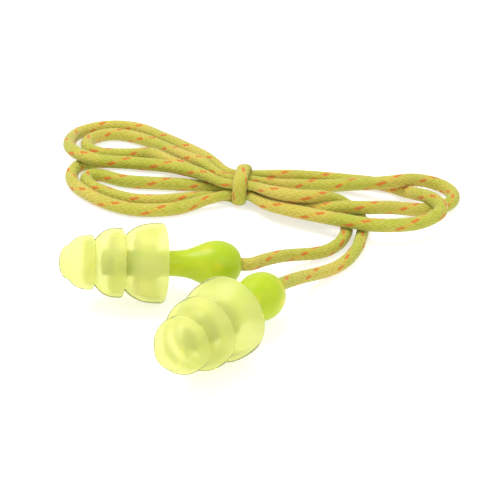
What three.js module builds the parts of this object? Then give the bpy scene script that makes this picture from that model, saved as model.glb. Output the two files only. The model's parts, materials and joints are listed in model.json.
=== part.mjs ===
// A pair of corded, reusable ear plugs with moulded triple-flange tips, lying on a table.
// Millimetres, +Z up, z = 0 is the table. The origin is under the middle of the two plugs.
//
// Each plug is a soft flanged tip pushed onto a stem. The stem is a post, a slim neck and a
// ball grip with a socket for the cord. One braided cord joins the two plugs. Its middle is
// folded into a hank: loops to the left and right of a waist that one turn of cord holds.
//
// The cord is made here as plain stretches. It bends most just outside each ball, so each end
// has two breaks there, where one stretch ends in a half ball that turns in front of the next.

import * as THREE from "three";

// ---- Driving dimensions ----

const LATHE_SIDES = 36;
const GAP = 0.3;

const CORD_RADIUS = 1.05;
const CORD_SIDES = 8;
const CORD_STEP = 4 * CORD_RADIUS;

// Tip: s is the distance behind the nose, r the distance from the plug's axis.
const NOSE_CAP = { length: 1.35, radius: 2.6 };
const FLANGES = [
  { rootS: 1.5, rootR: 2.75, rimS: 5.2, rimR: 4.2, skirt: 0.62, pocketS: 3.9, coreR: 2.95 },
  { rootS: 5.2, rootR: 3.15, rimS: 9.7, rimR: 5.4, skirt: 0.7, pocketS: 7.8, coreR: 3.85 },
  { rootS: 9.9, rootR: 4.05, rimS: 16.1, rimR: 6.25, skirt: 0.75, pocketS: 11.9, coreR: 2.75 },
];
// A shoulder's fullness, and how strongly its points crowd towards the root.
const SHOULDER_POWER = 3;
const CROWDING = 1.5;
const DOME_STEPS = 5;
const RIM_STEPS = 3;
const SLEEVE_END = 15.3;
const SLEEVE_BORE_END = 6.6;

// Stem: a post inside the tip, then the neck and the ball grip.
const POST_RADIUS = 1.95;
const POST_FRONT = SLEEVE_BORE_END + GAP;
const POST_ROUND = 0.5;
const GRIP_OUTLINE = [
  [2.0, 16.6], [2.05, 18.4], [2.3, 20.0], [2.82, 21.4], [3.4, 22.8],
  [3.7, 24.5], [3.45, 26.1], [2.8, 27.3], [2.1, 27.95], [1.65, 28.2],
];
const GRIP_STEPS = 14;
const MOUTH_S = 28.3;
const SOCKET_RADIUS = CORD_RADIUS + GAP;
const SOCKET_DEPTH = 5.6;

// Where each plug lies: the middle of its socket mouth in plan, how far the nose is turned
// from -X towards -Y, and how far the nose tilts up. The widest rim rests on the table.
// Lead points run from the swing hinge to the edge of the hank, where the cord goes under it.
const PLUGS = {
  left: {
    mouth: [10.35, 13.89],
    turn: 11,
    tilt: 7.3,
    lead: [
      [14.1, 16.6, 3.75], [16.1, 18.6, 3.15], [18.2, 20.3, 2.5], [20.3, 21.6, 1.9],
      [22.4, 22.7, 1.45], [24.4, 24.0, 1.2], [26.1, 25.8, 1.1], [27.2, 27.4, 1.1],
      [27.7, 28.7, 1.1],
    ],
  },
  right: {
    mouth: [15.52, 6.6],
    turn: 57,
    tilt: 7.3,
    lead: [
      [18.1, 10.5, 3.6], [19.9, 12.7, 2.9], [21.7, 14.8, 2.1], [23.7, 16.8, 1.5],
      [25.8, 18.8, 1.15], [27.6, 21.0, 1.1], [29.0, 23.6, 1.1], [30.0, 26.2, 1.1],
      [30.4, 28.1, 1.1],
    ],
  },
};
const LIFT_HINGE_OUT = 1.5;
const HINGE_CLEARANCE = 1.4;

// Hank: a smooth closed outline round each side's loops, and the turn of cord at the waist.
const LEFT_LOOPS = {
  height: 4.6,
  outline: [
    [8.4, 40.9], [2.0, 38.4], [-5.0, 36.7], [-12.0, 38.2], [-18.4, 43.6], [-21.6, 51.5],
    [-23.3, 60.5], [-22.0, 69.5], [-16.5, 73.6], [-10.5, 74.0], [-4.5, 70.0], [1.5, 60.0],
    [5.0, 53.3], [8.4, 47.5],
  ],
};
const RIGHT_LOOPS = {
  height: 5.4,
  outline: [
    [11.6, 46.2], [14.5, 47.6], [20.5, 50.0], [28.0, 51.3], [36.0, 50.0], [43.5, 50.4],
    [47.5, 48.0], [48.9, 43.0], [47.6, 38.0], [45.2, 32.5], [40.5, 28.6], [33.5, 27.7],
    [26.0, 29.8], [20.0, 31.8], [14.5, 35.0], [11.6, 38.6],
  ],
};
const OUTLINE_STEPS = 4;
const WAIST = { from: 8.7, to: 11.3, y: 44.2, halfWidth: 4.2, halfHeight: 3.0 };
const WAIST_SIDES = 28;

// ---- Shape helpers ----

function mesh(name, geometry, look) {
  geometry.computeVertexNormals();
  const result = new THREE.Mesh(geometry, new THREE.MeshStandardMaterial(look));
  result.name = name;
  return result;
}

// A solid of revolution about the plug's axis. Points are [radius, distance behind the nose].
function lathe(outline) {
  const points = outline.map(([r, s]) => new THREE.Vector2(r, -s));
  return new THREE.LatheGeometry(points, LATHE_SIDES);
}

// A shoulder that rises fast from its root and runs out almost parallel to the axis.
function shoulder(from, to) {
  const points = [];
  for (let i = 0; i <= DOME_STEPS; i++) {
    const t = (i / DOME_STEPS) ** CROWDING;
    const rise = 1 - (1 - t) ** SHOULDER_POWER;
    points.push([from.r + (to.r - from.r) * rise, from.s + (to.s - from.s) * t]);
  }
  return points;
}

// ---- Tip ----

function domeEnd(flange) {
  return flange.rimS - flange.skirt / 2;
}

function outerDome(flange) {
  const from = { r: flange.rootR, s: flange.rootS };
  return shoulder(from, { r: flange.rimR, s: domeEnd(flange) });
}

// The inside of a skirt, from the bottom of its pocket back to the rim.
function innerSkirt(flange) {
  const outside = outerDome(flange).filter(([, s]) => s > flange.pocketS + GAP);
  const inside = outside.map(([r, s]) => [r - flange.skirt, s]);
  return [[inside[0][0] - GAP, flange.pocketS], ...inside];
}

function rimRound(flange) {
  const points = [];
  const half = flange.skirt / 2;
  for (let i = 1; i < RIM_STEPS; i++) {
    const angle = (Math.PI * i) / RIM_STEPS;
    points.push([flange.rimR - half - half * Math.cos(angle), domeEnd(flange) + half * Math.sin(angle)]);
  }
  return points;
}

function noseCap() {
  const points = [];
  for (let i = DOME_STEPS; i > 0; i--) {
    const angle = (Math.PI / 2) * (i / DOME_STEPS);
    points.push([NOSE_CAP.radius * Math.sin(angle), NOSE_CAP.length * (1 - Math.cos(angle))]);
  }
  return [...points, [0, 0]];
}

function tipGeometry() {
  const boreRadius = POST_RADIUS + GAP;
  const outline = [
    [0, SLEEVE_BORE_END], [boreRadius, SLEEVE_BORE_END], [boreRadius, SLEEVE_END],
    [FLANGES[2].coreR, SLEEVE_END],
  ];
  for (const flange of [...FLANGES].reverse()) {
    outline.push([flange.coreR, flange.pocketS]);
    outline.push(...innerSkirt(flange), ...rimRound(flange), ...outerDome(flange).reverse());
  }
  outline.push(...noseCap());
  return lathe(outline);
}

// ---- Stem ----

function stemGeometry() {
  const grip = new THREE.SplineCurve(GRIP_OUTLINE.map(([r, s]) => new THREE.Vector2(r, s)));
  const gripPoints = grip.getPoints(GRIP_STEPS).map((p) => [p.x, p.y]).reverse();
  const socketEnd = MOUTH_S - SOCKET_DEPTH;
  return lathe([
    [0, socketEnd], [SOCKET_RADIUS, socketEnd], [SOCKET_RADIUS, MOUTH_S],
    ...gripPoints,
    [POST_RADIUS, POST_FRONT + POST_ROUND], [POST_RADIUS - POST_ROUND, POST_FRONT], [0, POST_FRONT],
  ]);
}

// ---- Cord ----

// A straight stretch of cord along the plug's axis, with a half ball centred at its rear end.
function stretchOutline(front, rear) {
  const outline = [];
  for (let i = 0; i <= RIM_STEPS; i++) {
    const angle = (Math.PI / 2) * (i / RIM_STEPS);
    outline.push([CORD_RADIUS * Math.sin(angle), rear + CORD_RADIUS * Math.cos(angle)]);
  }
  return [...outline, [CORD_RADIUS, front], [0, front]];
}

// The end of the cord, held in the stem's socket and reaching out to the lift hinge.
function cordEndGeometry() {
  const front = MOUTH_S - SOCKET_DEPTH + GAP;
  return lathe(stretchOutline(front, MOUTH_S + LIFT_HINGE_OUT));
}

// The short stretch between the lift hinge and the swing hinge.
function neckGeometry(length) {
  return lathe(stretchOutline(HINGE_CLEARANCE, length));
}

function tubeGeometry(points) {
  const path = new THREE.CatmullRomCurve3(points);
  const section = new THREE.Shape();
  for (let i = 0; i < CORD_SIDES; i++) {
    const angle = (2 * Math.PI * (i + 0.5)) / CORD_SIDES;
    const corner = [CORD_RADIUS * Math.cos(angle), CORD_RADIUS * Math.sin(angle)];
    if (i === 0) section.moveTo(...corner);
    else section.lineTo(...corner);
  }
  const steps = Math.round(path.getLength() / CORD_STEP);
  return new THREE.ExtrudeGeometry(section, { steps, extrudePath: path });
}

function loopsGeometry({ outline, height }) {
  const corners = outline.map(([x, y]) => new THREE.Vector2(x, y));
  const shape = new THREE.Shape();
  shape.moveTo(corners[0].x, corners[0].y);
  const edge = new THREE.SplineCurve(corners);
  for (const point of edge.getPoints(OUTLINE_STEPS * (corners.length - 1)).slice(1)) {
    shape.lineTo(point.x, point.y);
  }
  return new THREE.ExtrudeGeometry(shape, { depth: height, bevelEnabled: false });
}

function waistGeometry() {
  const shape = new THREE.Shape();
  for (let i = 0; i < WAIST_SIDES; i++) {
    const angle = (2 * Math.PI * i) / WAIST_SIDES;
    const corner = [WAIST.halfWidth * Math.cos(angle), WAIST.halfHeight * Math.sin(angle)];
    if (i === 0) shape.moveTo(...corner);
    else shape.lineTo(...corner);
  }
  const depth = WAIST.to - WAIST.from;
  const geometry = new THREE.ExtrudeGeometry(shape, { depth, bevelEnabled: false });
  geometry.rotateX(Math.PI / 2);
  geometry.rotateZ(Math.PI / 2);
  geometry.translate(WAIST.from, WAIST.y, WAIST.halfHeight);
  return geometry;
}

// ---- Looks ----

const TIP_LOOK = { color: 0xf0ee9a, roughness: 0.45, metalness: 0 };
const STEM_LOOK = { color: 0xb2d62c, roughness: 0.3, metalness: 0 };
const CORD_LOOK = { color: 0xd2c85c, roughness: 0.85, metalness: 0 };

// ---- Assembly ----

// A group whose +Y axis points the way given, with its +Z axis turned down towards the table.
function groupAlong(direction, position) {
  const down = new THREE.Vector3(0, 0, -1);
  const side = new THREE.Vector3().crossVectors(direction, down).normalize();
  const under = new THREE.Vector3().crossVectors(side, direction);
  const axes = new THREE.Matrix4().makeBasis(side, direction, under);
  const group = new THREE.Group();
  group.quaternion.setFromRotationMatrix(axes);
  group.position.copy(position);
  return group;
}

function noseDirection({ turn, tilt }) {
  const yaw = THREE.MathUtils.degToRad(turn);
  const rise = THREE.MathUtils.degToRad(tilt);
  const level = Math.cos(rise);
  return new THREE.Vector3(-Math.cos(yaw) * level, -Math.sin(yaw) * level, Math.sin(rise));
}

function buildPlug(side, plug) {
  const direction = noseDirection(plug);
  const nose = new THREE.Vector3(...plug.mouth, 0).addScaledVector(direction, MOUTH_S);
  const body = groupAlong(direction, nose);
  body.add(mesh(`${side}_tip`, tipGeometry(), TIP_LOOK));
  body.add(mesh(`${side}_stem`, stemGeometry(), STEM_LOOK));
  body.add(mesh(`${side}_cord_end`, cordEndGeometry(), CORD_LOOK));
  body.updateMatrixWorld(true);
  body.position.z -= new THREE.Box3().setFromObject(body, true).min.z;
  body.updateMatrixWorld(true);
  return body;
}

function buildCordToPlug(side, plug, body) {
  const parts = new THREE.Group();
  const liftHinge = body.localToWorld(new THREE.Vector3(0, -MOUTH_S - LIFT_HINGE_OUT, 0));
  const [swingHinge, ...rest] = plug.lead.map((point) => new THREE.Vector3(...point));
  const toPlug = liftHinge.clone().sub(swingHinge);
  const neck = groupAlong(toPlug.clone().normalize(), liftHinge);
  neck.add(mesh(`${side}_cord_neck`, neckGeometry(toPlug.length()), CORD_LOOK));
  const leadOut = rest[0].clone().sub(swingHinge).normalize();
  const start = swingHinge.clone().addScaledVector(leadOut, HINGE_CLEARANCE);
  parts.add(neck, mesh(`${side}_cord_lead`, tubeGeometry([start, ...rest]), CORD_LOOK));
  return parts;
}

const earPlugs = new THREE.Group();
for (const [side, plug] of Object.entries(PLUGS)) {
  const body = buildPlug(side, plug);
  earPlugs.add(body, buildCordToPlug(side, plug, body));
}
earPlugs.add(mesh("hank_left_loops", loopsGeometry(LEFT_LOOPS), CORD_LOOK));
earPlugs.add(mesh("hank_right_loops", loopsGeometry(RIGHT_LOOPS), CORD_LOOK));
earPlugs.add(mesh("hank_waist_turn", waistGeometry(), CORD_LOOK));

export default earPlugs;
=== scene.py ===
import json
import math

import bpy
import numpy as np
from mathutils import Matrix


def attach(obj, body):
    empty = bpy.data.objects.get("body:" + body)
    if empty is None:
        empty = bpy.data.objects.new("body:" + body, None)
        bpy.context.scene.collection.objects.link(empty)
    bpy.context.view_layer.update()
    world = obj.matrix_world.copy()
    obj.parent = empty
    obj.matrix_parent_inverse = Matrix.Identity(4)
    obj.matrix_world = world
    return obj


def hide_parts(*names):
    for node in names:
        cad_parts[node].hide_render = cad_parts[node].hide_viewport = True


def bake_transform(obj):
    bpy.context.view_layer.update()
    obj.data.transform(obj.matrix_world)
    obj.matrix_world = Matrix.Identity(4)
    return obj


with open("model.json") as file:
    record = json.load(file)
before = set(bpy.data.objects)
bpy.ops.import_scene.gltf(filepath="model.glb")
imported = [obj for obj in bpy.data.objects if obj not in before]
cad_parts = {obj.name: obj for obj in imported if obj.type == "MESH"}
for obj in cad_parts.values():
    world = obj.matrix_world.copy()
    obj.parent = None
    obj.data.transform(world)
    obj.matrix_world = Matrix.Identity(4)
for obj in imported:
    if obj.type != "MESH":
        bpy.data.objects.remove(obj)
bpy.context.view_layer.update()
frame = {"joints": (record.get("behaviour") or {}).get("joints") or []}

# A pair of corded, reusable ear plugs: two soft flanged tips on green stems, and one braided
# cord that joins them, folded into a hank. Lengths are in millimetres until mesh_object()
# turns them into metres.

MM = 0.001

# ---- Driving dimensions ----

CORD_DIAMETER = 2.1
CORD_RADIUS = CORD_DIAMETER / 2
LOOSE_RADIUS = 1.17          # the braid opens a little where nothing pulls on it
BUNDLE_RADIUS = 0.88         # and is squeezed where the strands pass the waist
WRAP_HALF_WIDTH = 1.25       # the turn of cord round the waist is pulled flat
WRAP_HALF_THICKNESS = 0.62

SIDES = ("left", "right")
LATHE_SIDES = 128
NOSE_CAP = {"length": 1.35, "radius": 2.6}
NOSE_STEPS = 20
# S is the distance behind the nose, R the distance from the plug's axis.
FLANGES = [
    {"rootS": 1.5, "rootR": 2.75, "rimS": 5.2, "rimR": 4.2, "skirt": 0.62,
     "pocketS": 3.9, "coreR": 2.95},
    {"rootS": 5.2, "rootR": 3.15, "rimS": 9.7, "rimR": 5.4, "skirt": 0.7,
     "pocketS": 7.8, "coreR": 3.85},
    {"rootS": 9.9, "rootR": 4.05, "rimS": 16.1, "rimR": 6.25, "skirt": 0.75,
     "pocketS": 11.9, "coreR": 2.75},
]
SHOULDER_POWER = 3           # how quickly a flange's dome rises
CROWDING = 1.5               # above 1, a dome's points crowd towards its root
DOME_STEPS = 26
POCKET_ROUND = 0.25          # the bevels at a pocket's bottom, at the core and at the skirt
POCKET_CORE_ROUND = 0.2
POCKET_FLOOR = 0.05
SKIRT_START = 0.4
SHARP_DEGREES = 50           # edges sharper than this are shaded as creases
SLEEVE_END = 15.3            # the tip's sleeve round the post, from here forward
SLEEVE_BORE_END = 6.6        # to here
SLEEVE_ROUND = 0.2
POST_RADIUS = 1.95
POST_ROUND = 0.5
POST_GAP = {"side": 0.02, "end": 0.05}
GRIP_OUTLINE = [
    (2.0, 16.6), (2.05, 18.4), (2.3, 20.0), (2.82, 21.4), (3.4, 22.8),
    (3.7, 24.5), (3.45, 26.1), (2.8, 27.3), (2.1, 27.95), (1.65, 28.2),
]
MOUTH_S = 28.3               # where the cord goes into the grip
SOCKET_DEPTH = 5.6
SOCKET_GAP = 0.04
MOUTH_LIP = {"depth": 0.25, "wider": 0.12, "inset": 0.05}
PLUG_TILT = math.radians(7.3)    # the nose points up by this much
LIFT_HINGE_OUT = 1.5         # from the mouth to the lift hinge

# The cord's own route, from the swing hinge of each plug to where it goes under the hank.
LEADS = {
    "left": [
        (14.1, 16.6, 3.75), (16.1, 18.6, 3.15), (18.2, 20.3, 2.5), (20.3, 21.6, 1.9),
        (22.4, 22.7, 1.45), (24.4, 24.0, 1.2), (26.1, 25.8, 1.1), (27.2, 27.4, 1.1),
        (27.7, 28.7, 1.1),
    ],
    "right": [
        (18.1, 10.5, 3.6), (19.9, 12.7, 2.9), (21.7, 14.8, 2.1), (23.7, 16.8, 1.5),
        (25.8, 18.8, 1.15), (27.6, 21.0, 1.1), (29.0, 23.6, 1.1), (30.0, 26.2, 1.1),
        (30.4, 28.1, 1.1),
    ],
}
# How each lead goes on to the waist. Both pass under the right loops' front strands. The left
# one stays below, and the right one climbs back over them.
TO_WAIST = {
    "left": [
        (28.4, 31.2, 1.1), (28.2, 33.8, 1.1), (26.6, 36.0, 1.1), (23.6, 37.6, 1.1),
        (20.0, 39.4, 1.3), (15.8, 42.2, 1.8),
    ],
    "right": [
        (30.9, 30.2, 1.1), (31.2, 32.6, 1.1), (30.9, 35.2, 1.3), (29.5, 37.2, 2.0),
        (27.2, 37.8, 3.2), (24.7, 36.6, 4.4), (22.1, 35.3, 5.1), (18.7, 35.9, 5.2),
        (15.3, 37.9, 5.0),
    ],
}
# The six places where strands pass the waist: upper and lower row, back to front.
WAIST_X = (8.5, 11.5)
WAIST_MIDDLE = np.array([10.0, 44.2, 3.0])
SLOTS = {
    "upper_back": (46.0, 3.95), "upper_middle": (44.2, 4.0), "upper_front": (42.4, 3.95),
    "lower_back": (46.0, 2.1), "lower_middle": (44.2, 2.1), "lower_front": (42.4, 2.1),
}
# The loops, in the order in which the cord makes them. Each left or right list runs from the
# waist round its bend and back.
LEFT_2 = [
    (3, 50.5, 2.5), (-4, 54.5, 2.2), (-8.5, 58, 1.5), (-12.5, 59.5, 1.3), (-16.5, 59.5, 1.6),
    (-19, 62.5, 1.8), (-18, 67, 1.3), (-14.5, 69, 1.2), (-10, 67.5, 1.2), (-5, 63, 1.7),
    (-1, 57.5, 2.6), (3, 51.5, 3.4),
]
RIGHT_2 = [
    (16, 44, 3.2), (20.5, 46, 1.9), (25, 47, 1.3), (28.5, 47, 1.5), (32, 45.5, 2.5),
    (35, 44, 3.4), (38, 44.5, 3.4), (41.5, 47, 2.4), (44.5, 48, 1.5), (47, 46.5, 1.2),
    (48, 43, 1.2), (46.5, 40, 1.2), (43.5, 38.5, 1.2), (40, 38, 1.4), (36, 36.5, 2.6),
    (32, 35, 3.3), (27.5, 35, 3.5), (23.5, 35, 3.2), (19, 37, 2.5), (15, 40, 2.3),
]
LEFT_4 = [
    (3, 47, 1.3), (-2, 48, 1.2), (-7, 48.5, 1.2), (-10.5, 49, 1.2), (-13.5, 50.5, 1.2),
    (-16, 52, 1.2), (-17.5, 51.5, 1.2), (-18, 49.5, 1.2), (-16.5, 47, 1.2), (-13.5, 44.5, 1.2),
    (-9, 42, 1.2), (-4, 41.5, 1.2), (1, 42.5, 1.1), (4, 43.5, 1.0),
]
# The turn round the waist: up the front, over the top, down the back and under.
WRAP = [
    (7.2, 43.9, 0.75), (8.7, 43.4, 0.65), (9.6, 42.4, 0.65), (9.95, 41.4, 1.0), (10.0, 40.9, 2.1),
    (10.1, 40.9, 3.9), (10.2, 41.35, 5.0), (10.35, 42.6, 5.45), (10.6, 44.2, 5.55),
    (10.85, 45.9, 5.45), (11.0, 47.05, 5.0), (11.1, 47.5, 3.9), (11.1, 47.5, 2.1),
    (10.8, 47.0, 1.0), (10.0, 46.4, 0.65), (8.5, 46.4, 0.65),
]
LEFT_3 = [
    (5, 50, 1.0), (2, 52, 1.2), (-3, 55, 1.2), (-9, 56.5, 1.2), (-15, 57, 1.2),
    (-19, 56, 1.2), (-20.5, 53, 1.2), (-20, 49, 1.2), (-17.5, 45, 1.2), (-13.5, 41, 1.2),
    (-9, 38.5, 1.2), (-4.5, 38, 1.2), (0, 39, 1.2), (4, 41, 1.6),
]
RIGHT_1 = [
    (14.5, 37.5, 2.7), (18.5, 35, 3.0), (23.5, 32.5, 3.1), (28, 30.5, 3.3), (32, 29, 3.3),
    (36, 29, 3.2), (40, 30, 3.0), (43, 32, 3.1), (45, 35, 3.2), (44, 37.5, 3.1),
    (42, 41, 2.5), (40, 44.5, 1.6), (37.5, 47, 1.2), (34, 48.5, 1.2), (29, 49.5, 1.2),
    (24.5, 49.5, 1.7), (20, 48.5, 2.5), (15.5, 47, 3.5),
]
LEFT_1 = [
    (5, 50.5, 3.9), (2, 55.5, 3.3), (-1.5, 61, 2.5), (-5.5, 67, 1.6), (-9, 71, 1.2),
    (-13, 72.5, 1.1), (-17.5, 72, 1.1), (-21, 69, 1.4), (-22, 64, 2.3), (-21.5, 59, 3.1),
    (-19, 55, 3.5), (-15.5, 53, 3.4), (-10, 52.5, 3.2), (-4.5, 51.5, 3.2), (-0.5, 50, 3.4),
    (3, 47.5, 3.7),
]

# ---- Camera, floor and light ----

CAMERA_AIM = (0.01192, 0.02634, 0.0)
CAMERA_ELEVATION = math.radians(30)
CAMERA_DISTANCE = 0.233
CAMERA_LENS = 100.8
LIGHT_AIM = (0.01, 0.03, 0)
LIGHTS = {
    "key": {"place": (-0.18, 0.10, 0.55), "size": 0.35, "watts": 2.6},
    "fill": {"place": (0.30, -0.30, 0.35), "size": 0.5, "watts": 0.9},
}
WORLD_STRENGTH = 0.75
FLOOR_HALF_SIDE = 3.0
FLOOR_LEVEL = -0.0001
FLOOR_COLOUR = (0.62, 0.62, 0.61, 1)
FLOOR_GLOW = 0.55            # keeps the table white in the object's soft shadow
WHITE = (1, 1, 1, 1)


def add_camera():
    data = bpy.data.cameras.new("camera")
    data.lens = CAMERA_LENS
    data.sensor_width = 36
    data.clip_start = 0.01
    data.clip_end = 20
    camera = bpy.data.objects.new("camera", data)
    back = CAMERA_DISTANCE * math.cos(CAMERA_ELEVATION)
    up = CAMERA_DISTANCE * math.sin(CAMERA_ELEVATION)
    camera.location = (CAMERA_AIM[0], CAMERA_AIM[1] - back, CAMERA_AIM[2] + up)
    camera.rotation_euler = (math.pi / 2 - CAMERA_ELEVATION, 0, 0)
    bpy.context.scene.collection.objects.link(camera)
    bpy.context.scene.camera = camera


def add_area_light(name, place, size, watts):
    data = bpy.data.lights.new(name, "AREA")
    data.shape = "DISK"
    data.size = size
    data.energy = watts
    light = bpy.data.objects.new(name, data)
    light.location = place
    direction = np.array(LIGHT_AIM) - np.array(place)
    lean = math.atan2(math.hypot(direction[0], direction[1]), -direction[2])
    heading = math.atan2(direction[1], direction[0])
    light.rotation_euler = (lean, 0, heading - math.pi / 2)
    bpy.context.scene.collection.objects.link(light)


def add_studio():
    world = bpy.data.worlds.new("studio")
    world.use_nodes = True
    background = world.node_tree.nodes["Background"]
    background.inputs["Color"].default_value = WHITE
    background.inputs["Strength"].default_value = WORLD_STRENGTH
    bpy.context.scene.world = world
    bpy.context.scene.view_settings.view_transform = "Standard"
    for name, light in LIGHTS.items():
        add_area_light(name, **light)


def add_floor():
    side, low = FLOOR_HALF_SIDE, FLOOR_LEVEL
    corners = [(-side, -side, low), (side, -side, low), (side, side, low), (-side, side, low)]
    mesh = bpy.data.meshes.new("floor")
    mesh.from_pydata(corners, [], [(0, 1, 2, 3)])
    floor = bpy.data.objects.new("floor", mesh)
    bpy.context.scene.collection.objects.link(floor)
    material = bpy.data.materials.new("floor")
    material.use_nodes = True
    shader = material.node_tree.nodes["Principled BSDF"]
    shader.inputs["Base Color"].default_value = FLOOR_COLOUR
    shader.inputs["Roughness"].default_value = 0.9
    shader.inputs["Specular IOR Level"].default_value = 0.1
    shader.inputs["Emission Color"].default_value = WHITE
    shader.inputs["Emission Strength"].default_value = FLOOR_GLOW
    mesh.materials.append(material)


add_camera()
add_studio()
add_floor()

# ---- Mesh and curve helpers ----

CURVE_STEPS = 24             # samples of a curve between two given points


def mesh_object(name, points, faces, material, uvs=None, sharp_angle=None):
    """A new object from points in millimetres. uvs holds one pair for each face corner."""
    mesh = bpy.data.meshes.new(name)
    mesh.from_pydata((np.asarray(points) * MM).tolist(), [], faces)
    mesh.polygons.foreach_set("use_smooth", np.ones(len(mesh.polygons), bool))
    if uvs is not None:
        layer = mesh.uv_layers.new(name="UVMap")
        layer.data.foreach_set("uv", np.asarray(uvs, np.float32).ravel())
    if sharp_angle is not None:
        mesh.set_sharp_from_angle(angle=sharp_angle)
    mesh.materials.append(material)
    mesh.validate()
    mesh.update()
    made = bpy.data.objects.new(name, mesh)
    bpy.context.scene.collection.objects.link(made)
    return made


def unit(vector):
    return np.asarray(vector, float) / np.linalg.norm(vector)


def catmull_rom(points, step):
    """The points of a smooth curve through the given ones, about step apart."""
    given = np.asarray(points, float)
    padded = np.vstack([2 * given[0] - given[1], given, 2 * given[-1] - given[-2]])
    chords = np.linalg.norm(np.diff(padded, axis=0), axis=1)
    knots = np.concatenate([[0], np.cumsum(chords ** 0.5)])
    curve = []
    for k in range(1, len(padded) - 2):
        p0, p1, p2, p3 = padded[k - 1:k + 3]
        t0, t1, t2, t3 = knots[k - 1:k + 3]
        t = np.linspace(t1, t2, CURVE_STEPS, endpoint=False)[:, None]
        a1 = (t1 - t) / (t1 - t0) * p0 + (t - t0) / (t1 - t0) * p1
        a2 = (t2 - t) / (t2 - t1) * p1 + (t - t1) / (t2 - t1) * p2
        a3 = (t3 - t) / (t3 - t2) * p2 + (t - t2) / (t3 - t2) * p3
        b1 = (t2 - t) / (t2 - t0) * a1 + (t - t0) / (t2 - t0) * a2
        b2 = (t3 - t) / (t3 - t1) * a2 + (t - t1) / (t3 - t1) * a3
        curve.append((t2 - t) / (t2 - t1) * b1 + (t - t1) / (t2 - t1) * b2)
    return evenly(np.vstack([*curve, given[-1:]]), step)


def distances(line):
    return np.concatenate([[0], np.cumsum(np.linalg.norm(np.diff(line, axis=0), axis=1))])


def evenly(line, step):
    along = distances(line)
    count = max(2, int(round(along[-1] / step)) + 1)
    at = np.linspace(0, along[-1], count)
    return np.stack([np.interp(at, along, line[:, k]) for k in range(3)], axis=1)


def smooth_step(x):
    x = np.clip(x, 0, 1)
    return x * x * (3 - 2 * x)


# ---- Where the plugs lie ----


def plug_place(side):
    """The nose, the way the nose points, the side and the up direction, and the lift hinge."""
    joint = next(j for j in frame["joints"] if j["name"] == f"{side}_plug_lift")
    hinge = np.array(joint["pos_m"]) / MM
    across = unit(joint["axis"])
    level = np.array([-across[1], across[0], 0])
    toward = level * math.cos(PLUG_TILT) + np.array([0, 0, math.sin(PLUG_TILT)])
    nose = hinge + toward * (MOUTH_S + LIFT_HINGE_OUT)
    up = np.cross(toward, across)
    return {"nose": nose, "toward": toward, "across": across, "up": up, "hinge": hinge}


PLACES = {side: plug_place(side) for side in SIDES}

# ---- Cord: route ----

CORD_END_GAP = 0.35          # between the cord's end and the socket's bottom
SOCKET_MIDDLE = 2.4          # a point of the route halfway down the socket
HANK_CUT = 3                 # the hank's piece starts at this point of TO_WAIST
SETTLE_STEP = 1.0
SETTLE_ROUNDS = 160
SETTLE_APART = 4.5           # points nearer than this along the cord don't push each other
CONTACT = 0.97               # strands may press into each other by this much of their radii
PUSH = 0.45
SMOOTHING = 0.25
KEEP_OFFSET = 0.985          # below 1, the strands are drawn back to their route
SOFTEN_ROUNDS = 2
SOFTEN_WEIGHTS = np.array([1, 4, 6, 4, 1]) / 16
HANK_RAMP = 12.0             # the braid opens over this length of cord
SQUEEZE_FROM, SQUEEZE_OVER = 3.0, 8.0
WRAP_RAMP = 2.5              # the cord goes flat over this length
WRAP_HOLD = 1.5              # above 1, the turn is held along its ramps too
HOLD_RAMP = 4.0              # the leads are held still, and let go over this length
BRAID_YARNS = 12             # yarns that wind each way
BRAID_LEAD = 16.0            # length of one whole turn of a yarn
RELIEF = 0.10                # depth of the valleys between yarns
ROUND_SHARE, BOW_SHARE = 0.65, 0.35    # a yarn's round section, and its bow over two others
RING_SIDES = 4 * BRAID_YARNS
RING_STEP = BRAID_LEAD / RING_SIDES


def through_waist(row, leftwards):
    y, z = SLOTS[row]
    xs = reversed(WAIST_X) if leftwards else WAIST_X
    return [(x, y, z) for x in xs]


def plug_end(side):
    """Cord points from the bottom of the plug's socket to the lift hinge."""
    place = PLACES[side]
    depths = (MOUTH_S - SOCKET_DEPTH + CORD_END_GAP, MOUTH_S - SOCKET_MIDDLE, MOUTH_S)
    return [place["nose"] - place["toward"] * s for s in depths] + [place["hinge"]]


def cord_route():
    """Every point that the cord passes, from the left plug's socket to the right plug's."""
    return [
        *plug_end("left"), *LEADS["left"], *TO_WAIST["left"],
        *through_waist("lower_back", True), *LEFT_2,
        *through_waist("upper_middle", False), *RIGHT_2,
        *through_waist("lower_middle", True), *LEFT_4, *WRAP, *LEFT_3,
        *through_waist("lower_front", False), *RIGHT_1,
        *through_waist("upper_back", True), *LEFT_1,
        *through_waist("upper_front", False), *reversed(TO_WAIST["right"]),
        *reversed(LEADS["right"]), *reversed(plug_end("right")),
    ]


def nearest_index(line, point):
    return int(np.linalg.norm(line - np.asarray(point), axis=1).argmin())


def wrap_weight(line):
    """1 along the turn round the waist, 0 elsewhere, with a ramp at each end."""
    first, last = nearest_index(line, WRAP[0]), nearest_index(line, WRAP[-1])
    along = distances(line)
    rise = (along - along[first]) / WRAP_RAMP + 0.5
    fall = (along[last] - along) / WRAP_RAMP + 0.5
    return smooth_step(np.minimum(rise, fall))


def into_hank(line):
    """How far along the cord each point is past the left lead's end, and before the right's."""
    along = distances(line)
    left = along[nearest_index(line, LEADS["left"][-1])]
    right = along[nearest_index(line, LEADS["right"][-1])]
    return along - left, right - along


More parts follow.
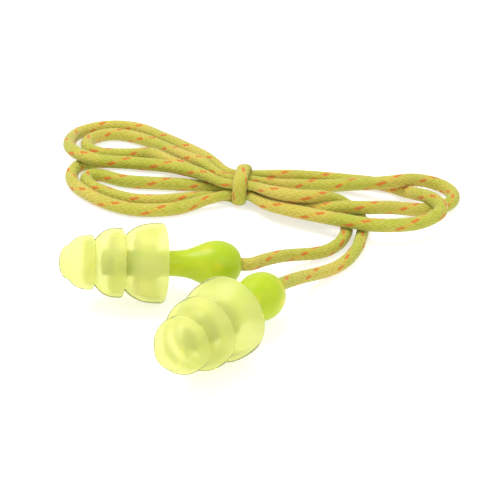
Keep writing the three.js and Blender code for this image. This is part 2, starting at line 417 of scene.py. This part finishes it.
def strand_radius(line):
    """The cord's own radius on its leads, a little more in the loops, and less at the waist."""
    past_left, past_right = into_hank(line)
    loose = smooth_step(past_left / HANK_RAMP) * smooth_step(past_right / HANK_RAMP)
    radius = CORD_RADIUS + (LOOSE_RADIUS - CORD_RADIUS) * loose
    near_waist = np.linalg.norm((line - WAIST_MIDDLE) * (1, 0.7, 0.7), axis=1)
    squeeze = 1 - smooth_step((near_waist - SQUEEZE_FROM) / SQUEEZE_OVER)
    return radius + (BUNDLE_RADIUS - radius) * squeeze


def settle(line, radius, held):
    """Pushes strands out of each other, keeps them on the table and near their route."""
    rest = line.copy()
    order = np.arange(len(line))
    apart = np.abs(order[:, None] - order[None]) * SETTLE_STEP > SETTLE_APART
    need = (radius[:, None] + radius[None]) * CONTACT
    free = 1 - held
    active = apart & (held[:, None] < 0.5) & (held[None] < 0.5)
    for _ in range(SETTLE_ROUNDS):
        gap = line[:, None] - line[None]
        far = np.linalg.norm(gap, axis=2) + 1e-9
        close = active & (far < need)
        share = np.where(close, (need - far) / far, 0)
        push = (gap * share[:, :, None]).sum(axis=1) / np.maximum(close.sum(axis=1), 1)[:, None]
        moved = line - rest + PUSH * push * free[:, None]
        moved[1:-1] += SMOOTHING * ((moved[:-2] + moved[2:]) / 2 - moved[1:-1])
        moved *= KEEP_OFFSET
        line = rest + moved * free[:, None]
        line[:, 2] = np.where(held < 0.5, np.maximum(line[:, 2], radius), line[:, 2])
    return line


def cord_line():
    """The cord's middle, ring by ring, with its radius and how far it belongs to the waist turn."""
    coarse = catmull_rom(cord_route(), SETTLE_STEP)
    wrap = wrap_weight(coarse)
    radius = strand_radius(coarse)
    past_left, past_right = into_hank(coarse)
    outside = np.maximum(-past_left, -past_right)
    held = np.maximum(smooth_step(outside / HOLD_RAMP + 0.5), smooth_step(wrap * WRAP_HOLD))
    settled = settle(coarse, radius, held)
    for _ in range(SOFTEN_ROUNDS):
        padded = np.pad(settled, ((2, 2), (0, 0)), mode="edge")
        columns = [np.convolve(padded[:, k], SOFTEN_WEIGHTS, mode="valid") for k in range(3)]
        smoothed = np.stack(columns, axis=1)
        settled = np.where(held[:, None] > 0.99, settled, smoothed)
    total = distances(settled)
    fine = catmull_rom(settled, RING_STEP)
    at = distances(fine) * total[-1] / distances(fine)[-1]
    return fine, np.interp(at, total, radius), np.interp(at, total, wrap)


def ring_frames(line):
    """A direction along the cord and two across it at each ring, carried along without twist."""
    along = np.gradient(line, axis=0)
    along /= np.linalg.norm(along, axis=1)[:, None]
    side = np.zeros_like(line)
    side[0] = unit(np.cross((0, 0, 1), along[0]))
    for i in range(1, len(line)):
        moved = side[i - 1] - along[i] * (side[i - 1] @ along[i])
        side[i] = moved / np.linalg.norm(moved)
    return along, side, np.cross(along, side)


def braid_relief(turn, lead):
    """How high the braid stands, 0 to 1: two sets of yarns, each over two and under two."""
    u = BRAID_YARNS * (turn + lead)
    v = BRAID_YARNS * (turn - lead)
    i, j = np.floor(u + 1e-6), np.floor(v + 1e-6)
    a, b = u - i, v - j
    place = np.mod(i + j, 4)
    over = place < 2
    across = np.where(over, a, b)
    along = np.where(over, (place + b) / 2, (place - 2 + a) / 2)
    crown = np.sqrt(np.clip(1 - (2 * across - 1) ** 2, 0, 1))
    bow = np.clip(np.sin(np.pi * np.clip(along, 0, 1)), 0, 1) ** 0.7
    return ROUND_SHARE * crown + BOW_SHARE * bow


class Cord:
    """The whole cord as rings. Each piece of it is cut from the same rings, so that they join."""

    def __init__(self):
        self.line, self.radius, wrap = cord_line()
        along, side, up = ring_frames(self.line)
        turn = np.arange(RING_SIDES) / RING_SIDES
        angle = 2 * np.pi * turn
        self.lead = np.arange(len(self.line)) * RING_STEP / BRAID_LEAD
        height = braid_relief(turn[None], self.lead[:, None])
        thick = (self.radius[:, None] - RELIEF * (1 - height))[:, :, None]
        cosine, sine = np.cos(angle)[None, :, None], np.sin(angle)[None, :, None]
        ring = (side[:, None] * cosine + up[:, None] * sine) * thick
        self.points = self.line[:, None] + self.flatten(ring, along, wrap)

    def flatten(self, ring, along, wrap):
        """The waist turn is pulled flat onto the strands that it holds."""
        out = (self.line - WAIST_MIDDLE) * (0, 1, 1)
        out -= along * (out * along).sum(axis=1)[:, None]
        out /= np.linalg.norm(out, axis=1)[:, None] + 1e-9
        thin = 1 + wrap * (WRAP_HALF_THICKNESS / self.radius - 1)
        wide = 1 + wrap * (WRAP_HALF_WIDTH / self.radius - 1)
        depth = (ring * out[:, None]).sum(axis=2)[:, :, None] * out[:, None]
        return depth * thin[:, None, None] + (ring - depth) * wide[:, None, None]

    def piece(self, name, first, last, material):
        rings = self.points[first:last + 1]
        count = len(rings)
        start = np.arange(count - 1)[:, None] * RING_SIDES
        here = np.arange(RING_SIDES)[None]
        ahead = (here + 1) % RING_SIDES
        first_corner, second_corner = start + here, start + ahead
        quads = np.stack([first_corner, second_corner, second_corner + RING_SIDES,
                          first_corner + RING_SIDES], axis=2)
        faces = quads.reshape(-1, 4).tolist()
        u = np.stack([here, here + 1, here + 1, here], axis=2) / RING_SIDES
        v0, v1 = self.lead[first:last, None], self.lead[first + 1:last + 1, None]
        u = np.broadcast_to(u, (count - 1, RING_SIDES, 4))
        v = np.stack(np.broadcast_arrays(v0, v0, v1, v1), axis=2)
        v = np.broadcast_to(v, (count - 1, RING_SIDES, 4))
        uvs = np.stack([u, v], axis=3).reshape(-1, 2)
        caps = [list(range(RING_SIDES))[::-1],
                list(range((count - 1) * RING_SIDES, count * RING_SIDES))]
        cap_uvs = [np.tile((0.5, self.lead[end]), (RING_SIDES, 1)) for end in (first, last)]
        points = rings.reshape(-1, 3)
        return mesh_object(name, points, faces + caps, material, np.vstack([uvs, *cap_uvs]))

    def length(self, first, last):
        return float(distances(self.line[first:last + 1])[-1]) * MM


# ---- Materials ----


def srgb(red, green, blue):
    """A colour as a screen shows it, 0 to 255, in the linear values that shaders take."""
    values = [c / 255 for c in (red, green, blue)]
    return (*[c / 12.92 if c <= 0.04045 else ((c + 0.055) / 1.055) ** 2.4 for c in values], 1)


class Nodes:
    """A material's node tree, with short calls for the nodes that it is made of."""

    def __init__(self, name):
        self.material = bpy.data.materials.new(name)
        self.material.use_nodes = True
        self.tree = self.material.node_tree
        self.shader = self.tree.nodes["Principled BSDF"]

    def node(self, kind, **settings):
        made = self.tree.nodes.new(kind)
        for key, value in settings.items():
            setattr(made, key, value)
        return made

    def put(self, socket, value):
        if isinstance(value, bpy.types.NodeSocket):
            self.tree.links.new(value, socket)
        else:
            socket.default_value = value

    def math(self, operation, *values):
        made = self.node("ShaderNodeMath", operation=operation)
        for socket, value in zip(made.inputs, values):
            self.put(socket, value)
        return made.outputs[0]

    def mix(self, share, first, second):
        made = self.node("ShaderNodeMix", data_type="RGBA")
        for name, value in (("Factor", share), ("A", first), ("B", second)):
            socket = next(s for s in made.inputs if s.name == name and s.enabled)
            self.put(socket, value)
        return next(s for s in made.outputs if s.enabled)

    def ramp(self, value, low, high):
        """0 below low, 1 above high, smooth between."""
        made = self.node("ShaderNodeMapRange", interpolation_type="SMOOTHSTEP")
        for name, number in (("Value", value), ("From Min", low), ("From Max", high)):
            self.put(made.inputs[name], number)
        return made.outputs["Result"]

    def noise(self, scale, detail):
        made = self.node("ShaderNodeTexNoise")
        self.put(made.inputs["Vector"], self.node("ShaderNodeTexCoord").outputs["Object"])
        made.inputs["Scale"].default_value = scale
        made.inputs["Detail"].default_value = detail
        return made.outputs["Fac"]

    def uv(self):
        split = self.node("ShaderNodeSeparateXYZ")
        self.put(split.inputs[0], self.node("ShaderNodeUVMap", uv_map="UVMap").outputs[0])
        return split.outputs[0], split.outputs[1]

    def bump(self, height, distance, strength):
        made = self.node("ShaderNodeBump")
        self.put(made.inputs["Height"], height)
        made.inputs["Distance"].default_value = distance
        made.inputs["Strength"].default_value = strength
        self.put(self.shader.inputs["Normal"], made.outputs[0])

    def set(self, **values):
        for name, value in values.items():
            self.put(self.shader.inputs[name.replace("_", " ")], value)


def braid_material():
    """Yellow-green braid with two orange tracer yarns, each yarn where the mesh's relief has it,
    and painted shade in the valleys between the yarns.
    """
    n = Nodes("braided_cord")
    turn, lead = n.uv()
    u = n.math("MULTIPLY", n.math("ADD", turn, lead), BRAID_YARNS)
    v = n.math("MULTIPLY", n.math("SUBTRACT", turn, lead), BRAID_YARNS)
    i, j = n.math("FLOOR", u), n.math("FLOOR", v)
    a, b = n.math("FRACT", u), n.math("FRACT", v)
    place = n.math("FLOORED_MODULO", n.math("ADD", i, j), 4.0)
    over = n.math("LESS_THAN", place, 1.5)
    under = n.math("SUBTRACT", 1.0, over)
    across = n.math("ADD", n.math("MULTIPLY", a, over), n.math("MULTIPLY", b, under))
    off_middle = n.math("ABSOLUTE", n.math("SUBTRACT", n.math("MULTIPLY", across, 2.0), 1.0))
    # Painted shade mask: 1 where a yarn's edge dips into the valley between yarns.
    valley_shade = n.ramp(off_middle, 0.55, 1.0)
    tracer = n.math("LESS_THAN", n.math("FLOORED_MODULO", i, BRAID_YARNS / 2), 0.5)
    float_along = n.math("MULTIPLY", n.math("ADD", place, b), 0.5)
    float_end = n.math("ABSOLUTE", n.math("SUBTRACT", n.math("MULTIPLY", float_along, 2.0), 1.0))
    float_middle = n.math("SUBTRACT", 1.0, n.ramp(float_end, 0.8, 1.0))
    fleck = n.math("MULTIPLY", n.math("MULTIPLY", tracer, over), float_middle)
    patches = n.ramp(n.noise(90.0, 2.0), 0.35, 0.68)
    yarn = n.mix(patches, srgb(168, 172, 52), srgb(196, 178, 74))
    fine = n.ramp(n.noise(1500.0, 2.0), 0.3, 0.75)
    yarn = n.mix(n.math("MULTIPLY", fine, 0.35), yarn, srgb(206, 196, 106))
    # Painted shade: the yarns darken to a dark olive towards the valleys between them.
    yarn = n.mix(n.math("MULTIPLY", valley_shade, 0.55), yarn, srgb(146, 144, 34))
    halo = n.math("MULTIPLY", tracer, 0.3)
    yarn = n.mix(halo, yarn, srgb(222, 160, 56))
    n.set(Base_Color=n.mix(fleck, yarn, srgb(200, 116, 44)), Roughness=0.72)
    n.set(Specular_IOR_Level=0.25, Sheen_Weight=0.25, Sheen_Roughness=0.4)
    filaments = n.math("SINE", n.math("MULTIPLY", across, 5 * 2 * math.pi))
    crown = n.math("SUBTRACT", 1.0, n.math("MULTIPLY", off_middle, off_middle))
    n.bump(n.math("ADD", n.math("MULTIPLY", filaments, 0.2), crown), 0.00005, 0.6)
    return n.material


def tip_material():
    """Soft, milky pale-yellow elastomer that lets the stem's green through."""
    n = Nodes("tip_elastomer")
    cloud = n.ramp(n.noise(220.0, 4.0), 0.3, 0.75)
    n.set(Base_Color=n.mix(cloud, srgb(226, 231, 150), srgb(238, 237, 168)))
    n.set(Roughness=1.0, IOR=1.03, Specular_IOR_Level=0.5, Transmission_Weight=0.64)
    n.set(Subsurface_Weight=0.6, Subsurface_Scale=0.002)
    n.shader.inputs["Subsurface Radius"].default_value = (1.0, 1.0, 0.45)
    n.bump(n.noise(2600.0, 3.0), 0.00002, 0.5)
    return n.material


def stem_material():
    """Lime-green elastomer with a glossy skin and faint yellow streaks."""
    n = Nodes("stem_elastomer")
    cloud = n.ramp(n.noise(160.0, 3.0), 0.35, 0.7)
    green = n.mix(cloud, srgb(166, 188, 36), srgb(184, 198, 44))
    streak = n.ramp(n.noise(260.0, 1.0), 0.56, 0.72)
    n.set(Base_Color=n.mix(n.math("MULTIPLY", streak, 0.4), green, srgb(226, 200, 50)))
    n.set(Roughness=0.3, IOR=1.3)
    n.set(Subsurface_Weight=0.5, Subsurface_Scale=0.002)
    n.shader.inputs["Subsurface Radius"].default_value = (0.8, 1.0, 0.2)
    n.bump(n.noise(900.0, 2.0), 0.00002, 0.4)
    return n.material


# ---- Tip and stem: solids of revolution about the plug's axis ----


def arc(centre, radius, start, end, steps):
    """Points of a round, from start to end in degrees, as (radius, distance behind the nose)."""
    angles = np.radians(np.linspace(start, end, steps + 1))
    return [(centre[0] + radius * math.cos(t), centre[1] + radius * math.sin(t)) for t in angles]


def dome_end(flange):
    return flange["rimS"] - flange["skirt"] / 2


def outer_dome(flange):
    points = []
    for k in range(DOME_STEPS + 1):
        t = (k / DOME_STEPS) ** CROWDING
        rise = 1 - (1 - t) ** SHOULDER_POWER
        r = flange["rootR"] + (flange["rimR"] - flange["rootR"]) * rise
        points.append((r, flange["rootS"] + (dome_end(flange) - flange["rootS"]) * t))
    return points


def inner_skirt(flange):
    """From the rounded bottom of the pocket back to the rim."""
    core, bottom = flange["coreR"], flange["pocketS"]
    floor = bottom + POCKET_FLOOR
    inside = [(r - flange["skirt"], s) for r, s in outer_dome(flange) if s > bottom + SKIRT_START]
    return [(core, bottom + POCKET_ROUND), (core + POCKET_CORE_ROUND, floor),
            (inside[0][0] - POCKET_ROUND, floor), *inside]


def rim_round(flange):
    half = flange["skirt"] / 2
    return arc((flange["rimR"] - half, dome_end(flange)), half, 180, 0, 10)[1:-1]


def nose_cap():
    """A quarter of an ellipse, from its edge to the nose."""
    angles = [math.pi / 2 * k / NOSE_STEPS for k in range(NOSE_STEPS, -1, -1)]
    return [(NOSE_CAP["radius"] * math.sin(t), NOSE_CAP["length"] * (1 - math.cos(t)))
            for t in angles]


def tip_outline():
    bore = POST_RADIUS + POST_GAP["side"]
    round_centre = (FLANGES[2]["coreR"] - SLEEVE_ROUND, SLEEVE_END - SLEEVE_ROUND)
    points = [(0, SLEEVE_BORE_END), (bore, SLEEVE_BORE_END), (bore, SLEEVE_END),
              *arc(round_centre, SLEEVE_ROUND, 90, 0, 4)]
    for flange in reversed(FLANGES):
        points += inner_skirt(flange) + rim_round(flange) + outer_dome(flange)[::-1]
    return points + nose_cap()


def stem_outline():
    grip = catmull_rom([(r, s, 0) for r, s in GRIP_OUTLINE], 0.35)[:, :2]
    bore = CORD_RADIUS + SOCKET_GAP
    front = SLEEVE_BORE_END + POST_GAP["end"]
    socket_end = MOUTH_S - SOCKET_DEPTH
    lip = [(bore, MOUTH_S - MOUTH_LIP["depth"]),
           (bore + MOUTH_LIP["wider"], MOUTH_S - MOUTH_LIP["inset"])]
    post = arc((POST_RADIUS - POST_ROUND, front + POST_ROUND), POST_ROUND, 0, -90, 6)
    return [(0, socket_end), (bore, socket_end), *lip,
            *[tuple(p) for p in grip[::-1]], *post, (0, front)]


def lathe(name, side, outline, material):
    """Turns an outline about a plug's axis. The two end points lie on the axis."""
    place = PLACES[side]
    angle = 2 * np.pi * np.arange(LATHE_SIDES) / LATHE_SIDES
    spokes = np.cos(angle)[:, None] * place["across"] + np.sin(angle)[:, None] * place["up"]
    inner = np.array(outline[1:-1])
    axis = place["nose"] - place["toward"] * inner[:, 1, None, None]
    rings = axis + spokes[None] * inner[:, 0, None, None]
    ends = [place["nose"] - place["toward"] * outline[k][1] for k in (0, -1)]
    points = np.vstack([rings.reshape(-1, 3), ends])
    count, first_end = len(inner), len(inner) * LATHE_SIDES
    faces, uvs = [], []
    reach = distances(np.array([(r, s, 0) for r, s in outline]))
    for k in range(LATHE_SIDES):
        m = (k + 1) % LATHE_SIDES
        u, next_u = k / LATHE_SIDES, (k + 1) / LATHE_SIDES
        faces.append((first_end, k, m))
        uvs += [(u, reach[0]), (u, reach[1]), (next_u, reach[1])]
        for ring in range(count - 1):
            low, high = ring * LATHE_SIDES, (ring + 1) * LATHE_SIDES
            faces.append((low + k, high + k, high + m, low + m))
            near, far = reach[ring + 1], reach[ring + 2]
            uvs += [(u, near), (u, far), (next_u, far), (next_u, near)]
        last = (count - 1) * LATHE_SIDES
        faces.append((last + k, first_end + 1, last + m))
        uvs += [(u, reach[-2]), (u, reach[-1]), (next_u, reach[-2])]
    return mesh_object(name, points, faces, material, uvs, math.radians(SHARP_DEGREES))


# ---- Assembly ----


def build_cord(material):
    """Cuts the cord into the hank, two leads and two ends, and puts the hank on the cord's body."""
    cord = Cord()
    line = cord.line
    swing = {side: np.array(LEADS[side][0]) for side in SIDES}
    neck = {side: nearest_index(line, (PLACES[side]["hinge"] + swing[side]) / 2) for side in SIDES}
    cut = {side: nearest_index(line, TO_WAIST[side][HANK_CUT]) for side in SIDES}
    spans = {"left": (neck["left"], cut["left"]), "right": (cut["right"], neck["right"])}
    ends = {"left": (0, neck["left"]), "right": (neck["right"], len(line) - 1)}
    hank = cord.piece("hank_cord", cut["left"], cut["right"], material)
    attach(hank, "cord")
    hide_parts("hank_left_loops", "hank_right_loops", "hank_waist_turn")
    for side in SIDES:
        end = cord.piece(f"{side}_socket_cord", *ends[side], material)
        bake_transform(end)
        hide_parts(f"{side}_cord_end")
        lead = cord.piece(f"{side}_lead_cord", *spans[side], material)
        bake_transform(lead)
        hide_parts(f"{side}_cord_lead", f"{side}_cord_neck")


def build_plug(side, tip_look, stem_look):
    tip = lathe(f"{side}_flanged_tip", side, tip_outline(), tip_look)
    stem = lathe(f"{side}_stem_and_grip", side, stem_outline(), stem_look)
    for piece, slot, node in ((tip, "tip", f"{side}_tip"), (stem, "stem", f"{side}_stem")):
        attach(piece, f"{side}_plug")
        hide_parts(node)


build_cord(braid_material())
tip_look, stem_look = tip_material(), stem_material()
for side in SIDES:
    build_plug(side, tip_look, stem_look)
